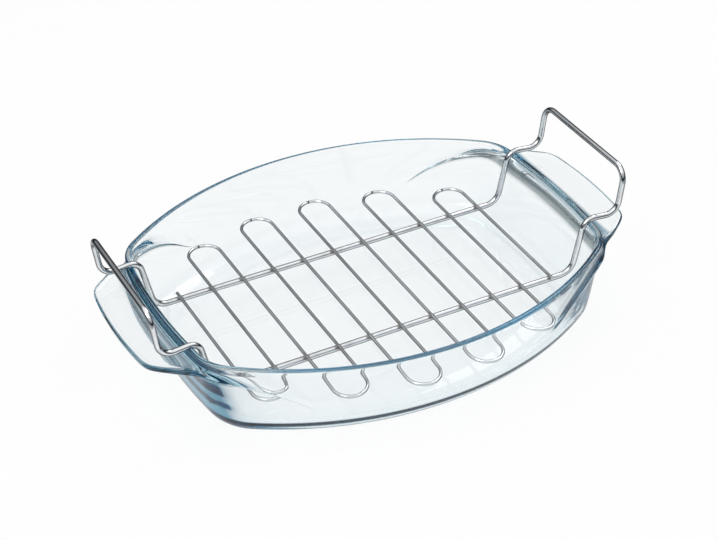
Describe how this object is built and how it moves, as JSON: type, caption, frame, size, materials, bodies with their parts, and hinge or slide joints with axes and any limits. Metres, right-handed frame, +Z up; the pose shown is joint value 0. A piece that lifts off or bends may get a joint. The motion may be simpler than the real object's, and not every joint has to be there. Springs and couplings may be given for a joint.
{
  "type": "roasting pan with rack",
  "caption": "Oval clear glass roasting dish with moulded end handles, and a lift-out chrome wire rack with upright wire grips that hang it from the rim.",
  "frame": {"origin": "on the table under the centre of the dish", "axes": "+X along the dish from handle to handle, +Y across it, +Z up out of the dish"},
  "size_m": [0.391, 0.2714, 0.1018],
  "materials": {
    "clear_glass": "clear pressed borosilicate glass, fire polished",
    "chrome_wire": "bright chrome plate on drawn steel wire"
  },
  "bodies": {
    "dish": {"glass_dish": "clear_glass"},
    "rack": {"frame_wire": "chrome_wire", "grid_wire": "chrome_wire"}
  },
  "joints": [
    {"name": "rack_lift", "type": "slide", "parent": "dish", "child": "rack", "axis": [0, 0, 1], "range_m": [0, 0.12]}
  ]
}
